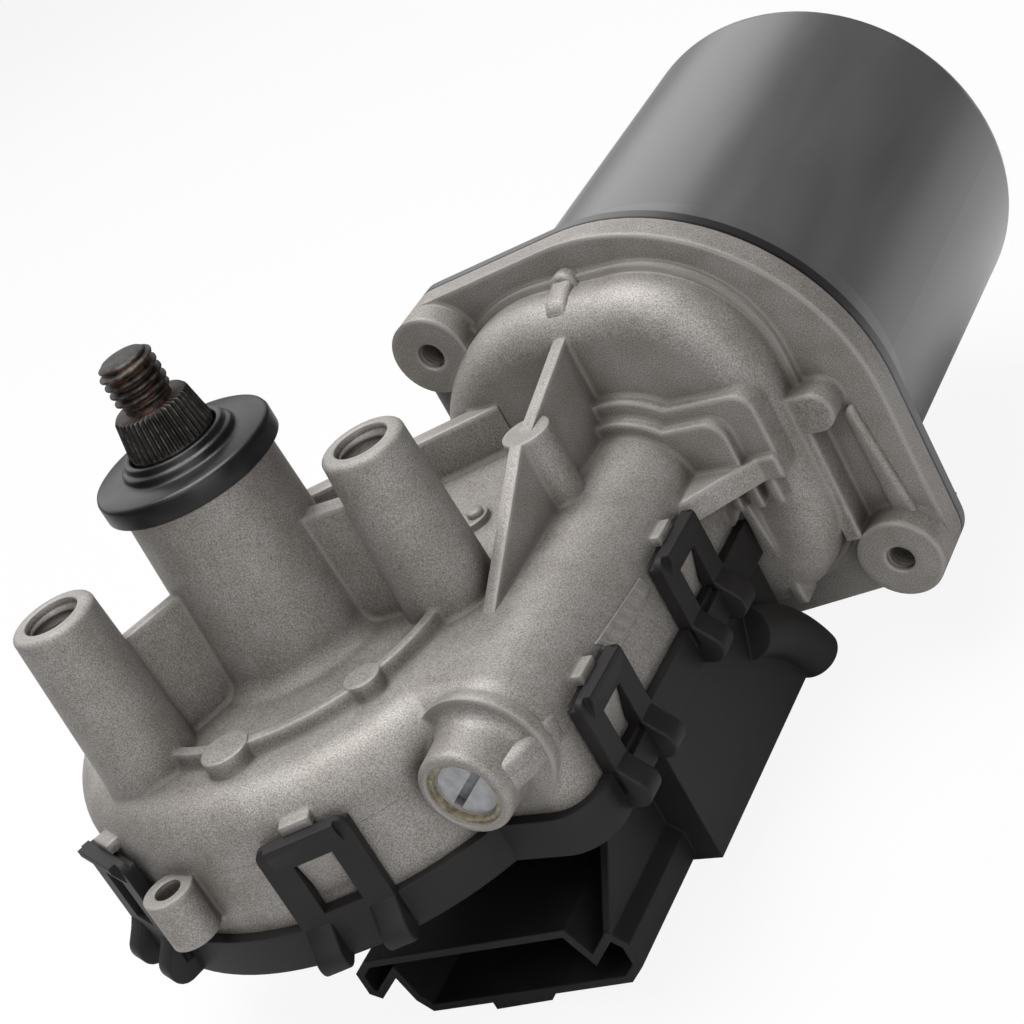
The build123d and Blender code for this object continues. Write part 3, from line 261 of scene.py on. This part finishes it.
sandy = relief(tree, grain, 0.8, 0.04, rounded)
tree.links.new(relief(tree, flash, 0.8, 0.12, sandy), shader.inputs["Normal"])
dress("gear_housing", casting)


def tube_faces(rows, around):
    """Quads between neighbouring rings of vertices, each ring laid on the one before."""
    faces = []
    for low in range(0, rows * around, around):
        high = low + around
        for step in range(around):
            nxt = (step + 1) % around
            faces.append((low + step, low + nxt, high + nxt, high + step))
    return faces


def inner_thread(name, mouth, axis, radius, depth, pitch, start, length):
    """Tapped thread standing in from the wall of a hole, from start down along axis."""
    around, rows_per_turn = 72, 10
    flank = 0.42               # half of a turn of the thread, less the flat at its root
    crest_cut = 1.2            # above 1, so that the crest comes out flat
    rows = int(length / pitch * rows_per_turn)
    side = Vector((1, 0, 0))
    up = Vector(axis).cross(side)
    verts = []
    for row in range(rows + 1):
        along = start - length * row / rows
        for step in range(around):
            angle = math.tau * step / around
            phase = (along / pitch - angle / math.tau) % 1.0
            crest = max(0.0, 1.0 - abs(phase - 0.5) / flank)
            r = radius - depth * min(1.0, crest * crest_cut)
            out = (side * math.cos(angle) + up * math.sin(angle)) * r
            verts.append(tuple(Vector(mouth) + Vector(axis) * along + out))
    made = mesh_object(name, verts, tube_faces(rows, around), casting)
    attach(made, "housing")


# The bosses are tapped M8 from just below their mouths: one piece of thread stands in the wider
# lead-in, whose depth is the third number, and one in the hole below it.
BOSSES = {"front": (-11.5, -24.0, 3.0), "side": (24.1, 4.3, 2.6), "rear": (-15.1, 19.3, 2.2)}
BOSS_PITCH, BOSS_DEPTH = 1.25, 0.5
LEAD_IN_WALL, LEAD_IN_START = 3.88, -0.9
TAP_WALL, TAP_START, TAP_LENGTH = 3.39, -3.1, 12.5
for which, (x, y, lead_in) in BOSSES.items():
    inner_thread("boss_mouth_thread_" + which, (x, y, 0), (0, 0, 1), LEAD_IN_WALL, BOSS_DEPTH, BOSS_PITCH,
                 LEAD_IN_START, lead_in - 1.0)
    inner_thread("boss_thread_" + which, (x, y, 0), (0, 0, 1), TAP_WALL, BOSS_DEPTH, BOSS_PITCH,
                 TAP_START, TAP_LENGTH)

# The screws that hold the can come through the ears from behind, in a thread of their own.
EARS = {"upper": (8.25, -10.73), "lower": (63.75, -58.47)}
EAR_FRONT_Y = 44.6
EAR_PITCH, EAR_DEPTH, EAR_WALL = 0.8, 0.28, 2.09
for which, (x, z) in EARS.items():
    inner_thread("ear_thread_" + which, (x, EAR_FRONT_Y, z), (0, -1, 0), EAR_WALL, EAR_DEPTH, EAR_PITCH,
                 -0.5, 3.6)


def arc(centre, radius, first, last, steps):
    """Points on an arc in a plane, from one angle to another in degrees."""
    turns = [math.radians(first + (last - first) * i / steps) for i in range(steps + 1)]
    return [(centre[0] + radius * math.cos(t), centre[1] + radius * math.sin(t)) for t in turns]


def rounded_prism(name, base, lift, edge, material=casting):
    """Prism on a flat outline with its edges rounded, as a cast rib or a moulded foot is."""
    shape = bmesh.new()
    low = [shape.verts.new(Vector(point) * MM) for point in base]
    high = [shape.verts.new((Vector(point) + Vector(lift)) * MM) for point in base]
    shape.faces.new(low[::-1])
    shape.faces.new(high)
    for i in range(len(base)):
        j = (i + 1) % len(base)
        shape.faces.new((low[i], low[j], high[j], high[i]))
    bmesh.ops.recalc_face_normals(shape, faces=shape.faces)
    bmesh.ops.bevel(shape, geom=shape.edges[:], offset=edge * MM, segments=3, profile=0.5, affect="EDGES",
                    clamp_overlap=True)
    made = mesh_object(name, [], [], material)
    shape.to_mesh(made.data)
    shape.free()
    made.data.polygons.foreach_set("use_smooth", [True] * len(made.data.polygons))
    made.data.set_sharp_from_angle(angle=math.radians(40))
    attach(made, "housing")


# Small cast details: the rib over the drum with its round head, the lug beside the nose, the
# strip along the flange and the ejector peg on the deck.
FLANGE_FRONT_Y = 49.2
DRUM_RIB = [(41.4, -10.5), (42.2, -7.4), (43.2, -6.3), (FLANGE_FRONT_Y, -4.6), (FLANGE_FRONT_Y, -9.5)]
rounded_prism("drum_rib", [(31.3, y, z) for y, z in DRUM_RIB], (3.4, 0, 0), 0.7)
RIB_HEAD = arc((33.0, -6.4), 2.2, -40, 220, 12)
rounded_prism("drum_rib_head", [(x, FLANGE_FRONT_Y, z) for x, z in RIB_HEAD], (0, -2.3, 0), 0.7)
NOSE_LUG = [(40.6, -24.6), (42.3, -24.4), (44.0, -21.6), (45.3, -17.0), (45.3, -14.0), (40.6, -14.0)]
rounded_prism("nose_lug", [(x, y, -36.6) for x, y in NOSE_LUG], (0, 0, 4.4), 1.0)
EDGE_STRIP = [(63.6, -35.2), (65.2, -34.6), (67.4, -54.0), (64.0, -54.0)]
rounded_prism("flange_strip", [(x, 49.3, z) for x, z in EDGE_STRIP], (0, -1.5, 0), 0.5)
PEG = arc((20.2, 21.3), 1.3, 0, 330, 11)
rounded_prism("deck_peg", [(x, y, -26.0) for x, y in PEG], (0, 0, 2.6), 0.3)

TUBE_SIDE_X = 45.3                         # flat side of the worm tube
PAD_TOP = ((-1.0, -32.9), (13.8, -33.9))   # y and z at the ends of the pad's upper edge
PAD_LOW = ((2.2, -36.8), (15.1, -36.2))    # and of its lower one


def trimmed_pad():
    """Flat left on the side of the worm tube where a gate was sheared off: a row of tear marks."""
    tears = 46
    verts, faces = [], []
    for i in range(tears + 1):
        along = i / tears
        torn = 0.27 if i % 2 else 0.20
        torn += 0.05 * math.sin(i * 2.3) + 0.04 * math.sin(i * 0.7)
        face = TUBE_SIDE_X + torn
        top = [first + (last - first) * along for first, last in zip(*PAD_TOP)]
        low = [first + (last - first) * along for first, last in zip(*PAD_LOW)]
        for (y, z), x in ((top, TUBE_SIDE_X - 0.3), (top, face), (low, face), (low, TUBE_SIDE_X - 0.1)):
            verts.append((x, y, z))
    for i in range(tears):
        for k in range(3):
            faces.append((4 * i + k, 4 * i + k + 1, 4 * i + k + 5, 4 * i + k + 4))
    faces += [(3, 2, 1, 0), tuple(4 * tears + k for k in range(4))]
    made = mesh_object("trimmed_gate", verts, faces, casting, smooth=False)
    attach(made, "housing")


trimmed_pad()

# --- Seal cap ----------------------------------------------------------------------------------
# A moulded rubber cap pressed over the tower: a flat rim, then two steps up to a lip that hugs the
# shaft. Handling and oil leave it almost glossy. The two flat gaskets are of the same rubber.
CAP_PROFILE = ((11.1, 3.3), (12.6, 3.25), (12.95, 3.5), (12.95, 5.9), (12.75, 6.35), (12.3, 6.6), (9.0, 6.62),
               (8.45, 6.75), (8.25, 7.1), (8.2, 7.55), (7.95, 7.78), (7.6, 7.85), (7.42, 8.05), (7.38, 8.6),
               (7.2, 8.8), (6.7, 8.86), (6.45, 8.7), (6.35, 8.3), (6.35, 7.7), (7.0, 7.6), (7.0, 5.8),
               (11.1, 4.6))
rubber, tree, shader = new_material("moulded nitrile rubber")
shader.inputs["Specular IOR Level"].default_value = 0.40
place = add_node(tree, "ShaderNodeTexCoord").outputs["Object"]
smear = noise(tree, place, 3.5, 4.0)
tree.links.new(two_tone(tree, smear, 0.35, "#0A0A0B", 0.75, "#141416"), shader.inputs["Base Color"])
vary_roughness(tree, shader, smear, 0.26, 0.44)
tree.links.new(relief(tree, smear, 0.2, 0.05, rounded_edges(tree, 0.3)), shader.inputs["Normal"])
for node in ("seal_cap", "cover_seal", "can_gasket"):
    dress(node, rubber)


def stepped_cap():
    """The cap's profile turned once round the shaft."""
    around = 160
    count = len(CAP_PROFILE)
    verts, faces = [], []
    for step in range(around):
        angle = math.tau * step / around
        verts += [(r * math.cos(angle), r * math.sin(angle), z) for r, z in CAP_PROFILE]
        here, nxt = step * count, (step + 1) % around * count
        for k in range(count):
            j = (k + 1) % count
            faces.append((here + k, nxt + k, nxt + j, here + j))
    made = mesh_object("stepped_seal_cap", verts, faces, rubber)
    made.data.set_sharp_from_angle(angle=math.radians(50))
    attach(made, "housing")
    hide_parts("seal_cap")


stepped_cap()

# --- Output shaft --------------------------------------------------------------------------------
# Hardened steel, phosphated dark and oiled: a rolled M8 thread above a straight-knurled cone that
# the crank arm is drawn down on. Rust starts in the thread roots, and the knurl tips are bright.
SHAFT_PROFILE = ((-41.0, 5.4), (-40.4, 6.0), (8.2, 6.0), (8.7, 6.05))
CONE_LOW, CONE_HIGH = (8.9, 6.25), (14.4, 5.35)
KNURLS = 42
KNURL_DEPTH = 0.34
KNURL_RUN_OUT, KNURL_STEP = 0.3, 0.25      # the grooves end within this length, on a small step
FLATTEN = 1.35                             # above 1, so that grooves and crests come out flat
THREAD_START, THREAD_END = 15.2, 21.3
THREAD_PITCH = 1.25
THREAD_CREST, THREAD_ROOT = 3.97, 3.30
THREAD_FLANK = 0.40
THREAD_RUN_IN, THREAD_RUN_OUT = 0.9, 0.5
NECK_R = THREAD_ROOT + 0.1
TIP = 21.7
TIP_CHAMFER = 0.25
PLAIN_POLISH, NECK_POLISH, TIP_POLISH = 0.15, 0.05, 0.2

steel, tree, shader = new_material("phosphated steel with oil and rust")
shader.inputs["Metallic"].default_value = 0.6
place = add_node(tree, "ShaderNodeTexCoord").outputs["Object"]
crests = add_node(tree, "ShaderNodeAttribute", attribute_name="crest").outputs["Fac"]
roots = add_node(tree, "ShaderNodeAttribute", attribute_name="rust").outputs["Fac"]
spots = noise(tree, place, 1.3, 5.0, 0.7)
dark = two_tone(tree, spots, 0.38, "#141312", 0.68, "#2A2724")
rusted = sum_of(tree, "MULTIPLY", roots, remap(tree, spots, 0.44, 0.60, 0.0, 1.0))
polished = sum_of(tree, "MULTIPLY", crests, remap(tree, spots, 0.46, 0.62, 0.15, 1.0))
brown = mix_colour(tree, rusted, dark, colour("#53301F"))
tree.links.new(mix_colour(tree, polished, brown, colour("#7A756E")), shader.inputs["Base Color"])
vary_roughness(tree, shader, spots, 0.36, 0.62)
tree.links.new(relief(tree, spots, 0.35, 0.08), shader.inputs["Normal"])


def shaft_radius(z, angle):
    """Radius and polish (0 to 1) of the output shaft at a height and angle."""
    low_z, low_r = CONE_LOW
    high_z, high_r = CONE_HIGH
    if z < low_z:
        for (z0, r0), (z1, r1) in zip(SHAFT_PROFILE, SHAFT_PROFILE[1:]):
            if z <= z1:
                return r0 + (r1 - r0) * (z - z0) / (z1 - z0), PLAIN_POLISH
        return SHAFT_PROFILE[-1][1], PLAIN_POLISH
    if z <= high_z:
        r = low_r + (high_r - low_r) * (z - low_z) / (high_z - low_z)
        full = min(1.0, (z - low_z) / KNURL_RUN_OUT, (high_z - z) / KNURL_RUN_OUT)
        groove = min(1.0, abs((angle / math.tau * KNURLS) % 1.0 - 0.5) * 2 * FLATTEN)
        return r - KNURL_DEPTH * groove * full - KNURL_STEP * (1 - full), max(0.0, 0.9 - groove * 2.6)
    if z < THREAD_START:
        return NECK_R, NECK_POLISH
    if z > THREAD_END:
        return NECK_R - 0.5 * (z - THREAD_END) / (TIP - THREAD_END), TIP_POLISH
    phase = (z / THREAD_PITCH - angle / math.tau) % 1.0
    crest = min(1.0, max(0.0, (1.0 - abs(phase - 0.5) / THREAD_FLANK) * FLATTEN))
    fade = min(1.0, (z - THREAD_START) / THREAD_RUN_IN, (THREAD_END - z) / THREAD_RUN_OUT + 0.25)
    return THREAD_ROOT + (THREAD_CREST - THREAD_ROOT) * crest * fade, 0.35 * crest


def output_shaft_mesh():
    """Rings of vertices up the shaft, close together in the knurl and the thread."""
    around = KNURLS * 10
    knurl_rows, thread_rows = 14, 60
    low_z, high_z = CONE_LOW[0], CONE_HIGH[0]
    heights = sorted([z for z, _ in SHAFT_PROFILE] + [0.0, low_z - 0.02])
    heights += [low_z + (high_z - low_z) * i / knurl_rows for i in range(knurl_rows + 1)] + [high_z + 0.01]
    heights += [THREAD_START + (THREAD_END - THREAD_START) * i / thread_rows for i in range(thread_rows + 1)]
    heights += [TIP - TIP_CHAMFER, TIP]
    verts, polish, rust = [], [], []
    for z in heights:
        for step in range(around):
            angle = math.tau * step / around
            r, shine = shaft_radius(z, angle)
            verts.append((r * math.cos(angle), r * math.sin(angle), z))
            polish.append(shine)
            rust.append(max(0.0, 1.0 - shine * 4) if high_z < z < THREAD_END else 0.0)
    faces = tube_faces(len(heights) - 1, around)
    rim = (len(heights) - 1) * around
    verts += [(0, 0, TIP - TIP_CHAMFER), (0, 0, heights[0])]
    polish += [TIP_POLISH, TIP_POLISH]
    rust += [0.0, 0.0]
    for step in range(around):
        nxt = (step + 1) % around
        faces.append((rim + step, rim + nxt, len(verts) - 2))
        faces.append((nxt, step, len(verts) - 1))
    made = mesh_object("threaded_output_shaft", verts, faces, steel)
    for name, values in (("crest", polish), ("rust", rust)):
        made.data.attributes.new(name, "FLOAT", "POINT").data.foreach_set("value", values)
    return made


shaft = output_shaft_mesh()
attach(shaft, "output")
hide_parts("output_shaft")
for node in ("lower_thrust_washer", "upper_thrust_washer", "retaining_ring"):
    dress(node, steel)

# --- End-play screw --------------------------------------------------------------------------------
# A milky nylon grub screw with a screwdriver slot, locked by a ring of yellowish sealant. The worm
# wheel inside is moulded in the same milky plastic.
nylon, tree, shader = new_material("natural nylon")
shader.inputs["Subsurface Weight"].default_value = 0.35
shader.inputs["Subsurface Radius"].default_value = (0.001, 0.001, 0.001)
place = add_node(tree, "ShaderNodeTexCoord").outputs["Object"]
cloud = noise(tree, place, 1.4, 3.0)
tree.links.new(two_tone(tree, cloud, 0.3, "#8E9092", 0.7, "#ABADAF"), shader.inputs["Base Color"])
vary_roughness(tree, shader, cloud, 0.25, 0.45)
dress("thrust_screw", nylon)
dress("worm_wheel", nylon)

sealant, tree, shader = new_material("anaerobic sealant")
shader.inputs["Roughness"].default_value = 0.2
place = add_node(tree, "ShaderNodeTexCoord").outputs["Object"]
cloud = noise(tree, place, 0.9, 3.0)
tree.links.new(two_tone(tree, cloud, 0.35, "#665F4A", 0.7, "#9C937A"), shader.inputs["Base Color"])
dress("locking_sealant", sealant)

# --- Gear cover ------------------------------------------------------------------------------------
# Glass-filled black nylon, moulded in one piece with its clips, connector shroud, box and spout.
# The contact plate under it is moulded in the same nylon.
cover, tree, shader = new_material("moulded glass-filled nylon")
shader.inputs["Specular IOR Level"].default_value = 0.35
place = add_node(tree, "ShaderNodeTexCoord").outputs["Object"]
grain = noise(tree, place, 0.22, 2.0)
flow = noise(tree, place, 9.0, 3.0)
tree.links.new(two_tone(tree, flow, 0.35, "#131111", 0.7, "#1D1A1A"), shader.inputs["Base Color"])
vary_roughness(tree, shader, flow, 0.50, 0.66)
tree.links.new(relief(tree, grain, 0.25, 0.03, rounded_edges(tree, 0.4)), shader.inputs["Normal"])
dress("gear_cover", cover)
dress("contact_plate", cover)

# Where each clip leg turns under, the moulding loops out into a round foot. A clip has the angle
# that it faces, how far out the wall behind it stands, its shift along the wall and its feet's reach.
CHAMBER_R = 37.0
LONG_REACH, SHORT_REACH = 5.4, 3.4
CLIPS = {"front_right": (-64.0, CHAMBER_R, 0.0, LONG_REACH), "front": (-116.0, CHAMBER_R, 0.0, LONG_REACH),
         "left": (176.0, CHAMBER_R, 0.0, SHORT_REACH), "rear": (128.0, CHAMBER_R, 0.0, LONG_REACH),
         "side": (0.0, TUBE_SIDE_X, -6.3, LONG_REACH), "far_side": (0.0, TUBE_SIDE_X, 22.0, LONG_REACH)}
LEG_SIDES = {"a": -6.5, "b": 2.7}
LEG_WIDTH = 3.8
LEG_BACK, LEG_FRONT = 0.7, 2.4
FOOT_TOP, FOOT_KNEE, FOOT_BOTTOM = -43.8, -45.2, -50.6
for which, (angle, out, along, reach) in CLIPS.items():
    radius = 1.2 + 0.25 * (reach - 1.2)
    foot = [(LEG_BACK, FOOT_TOP), (LEG_FRONT, FOOT_TOP), (2.5 + 0.3 * (reach - 2.5), FOOT_KNEE)]
    foot += arc((reach - radius, FOOT_BOTTOM + radius), radius, 35, -90, 6)
    foot.append((LEG_BACK, FOOT_BOTTOM + 0.2))
    turn = Matrix.Rotation(math.radians(angle), 3, "Z")
    for side, start in LEG_SIDES.items():
        base = [tuple(turn @ Vector((out + x, along + start, z))) for x, z in foot]
        rounded_prism("clip_foot_" + which + "_" + side, base, tuple(turn @ Vector((0, LEG_WIDTH, 0))), 0.35,
                      cover)

# --- Motor can -------------------------------------------------------------------------------------
# Deep-drawn steel, dipped in semi-gloss black paint that runs a little and shows the draw marks.
# The edge of the flange has the paint's own black; the wall is coloured a mid grey, a painted sheen
# that stands in for the reflections on the black paint.
RIM_END_Y, WALL_START_Y = 55.3, 55.9       # on either side of the back of the can's flange

paint, tree, shader = new_material("semi-gloss black paint on drawn steel")
shader.inputs["Coat Weight"].default_value = 1.0
shader.inputs["Coat Roughness"].default_value = 0.30
place = add_node(tree, "ShaderNodeTexCoord").outputs["Object"]
run = add_node(tree, "ShaderNodeMapping", {"Vector": place})
run.inputs["Scale"].default_value = (1.0, 0.18, 1.0)
drawn = noise(tree, run.outputs[0], 6.0, 4.0)
peel = noise(tree, place, 0.9, 2.0)
axes = add_node(tree, "ShaderNodeSeparateXYZ", {0: place})
# Painted sheen: away from the flange's edge the base colour is a mid grey instead of the paint's black,
# standing in for reflected light on the wall.
wall = remap(tree, axes.outputs["Y"], RIM_END_Y * MM, WALL_START_Y * MM, 0.0, 1.0)
painted_sheen_grey = two_tone(tree, drawn, 0.35, "#484849", 0.7, "#525253")
tree.links.new(mix_colour(tree, wall, colour("#0E0E0F"), painted_sheen_grey), shader.inputs["Base Color"])
vary_roughness(tree, shader, drawn, 0.42, 0.55)
tree.links.new(relief(tree, peel, 0.12, 0.04), shader.inputs["Normal"])
dress("motor_can", paint)

# --- Working parts inside ------------------------------------------------------------------------------
# Rotor, magnets, brush gear and bearings, each in the finish it has when it is built in. The zinc
# screws that hold the can are finished here too.


def plain_finish(name, low, high, size, metallic, rough_low, rough_high):
    """Two-tone finish for a part that is closed in: its own colours, grain size and gloss."""
    made, tree, shader = new_material(name)
    shader.inputs["Metallic"].default_value = metallic
    place = add_node(tree, "ShaderNodeTexCoord").outputs["Object"]
    grain = noise(tree, place, size, 3.0)
    tree.links.new(two_tone(tree, grain, 0.35, low, 0.7, high), shader.inputs["Base Color"])
    vary_roughness(tree, shader, grain, rough_low, rough_high)
    return made


zinc = plain_finish("bright zinc plate", "#B5B6B2", "#D2D2CC", 1.2, 1.0, 0.25, 0.4)
ground = plain_finish("ground steel", "#9C9C9C", "#BDBDBD", 0.8, 1.0, 0.2, 0.35)
lamination = plain_finish("varnished silicon steel", "#5A5A5C", "#707073", 0.6, 0.9, 0.4, 0.55)
copper = plain_finish("enamelled copper wire", "#8F4A26", "#B8683A", 0.6, 0.9, 0.25, 0.4)
bars = plain_finish("turned copper", "#B4683F", "#CF8258", 0.5, 1.0, 0.25, 0.4)
bronze = plain_finish("sintered bronze", "#8E6A3E", "#A9844F", 0.4, 0.9, 0.45, 0.6)
brass = plain_finish("tinned brass", "#B9A469", "#D3C28B", 0.9, 1.0, 0.25, 0.4)
ferrite = plain_finish("ferrite ceramic", "#2E2E30", "#3D3D40", 0.5, 0.0, 0.6, 0.8)
carbon = plain_finish("pressed carbon", "#1B1B1C", "#2B2B2C", 0.3, 0.1, 0.5, 0.7)
board = plain_finish("phenolic board", "#4A2F1D", "#5E3D27", 1.5, 0.0, 0.45, 0.6)
sleeve = plain_finish("wire insulation", "#2A4E8A", "#3560A4", 1.0, 0.0, 0.35, 0.5)

FINISHES = {
    zinc: ("upper_can_screw", "lower_can_screw"),
    ground: ("armature_shaft", "thrust_ball", "upper_magnet_spring", "lower_magnet_spring",
             "common_brush_spring", "low_speed_brush_spring", "high_speed_brush_spring"),
    lamination: ("lamination_stack",),
    copper: ("windings",),
    bars: ("commutator",),
    bronze: ("upper_shaft_bush", "lower_shaft_bush", "worm_bush", "middle_bearing", "rear_bearing"),
    brass: ("connector_terminals", "park_contacts", "park_contact_disc", "common_brush_guide",
            "low_speed_brush_guide", "high_speed_brush_guide"),
    ferrite: ("left_magnet", "right_magnet", "upper_choke", "lower_choke"),
    carbon: ("common_brush", "low_speed_brush", "high_speed_brush"),
    board: ("brush_plate",),
    sleeve: ("brush_leads",),
}
for finish, nodes in FINISHES.items():
    for node in nodes:
        dress(node, finish)

# --- Close -------------------------------------------------------------------------------------------
# sRGB output with no tone curve.
bpy.context.scene.view_settings.view_transform = "Standard"
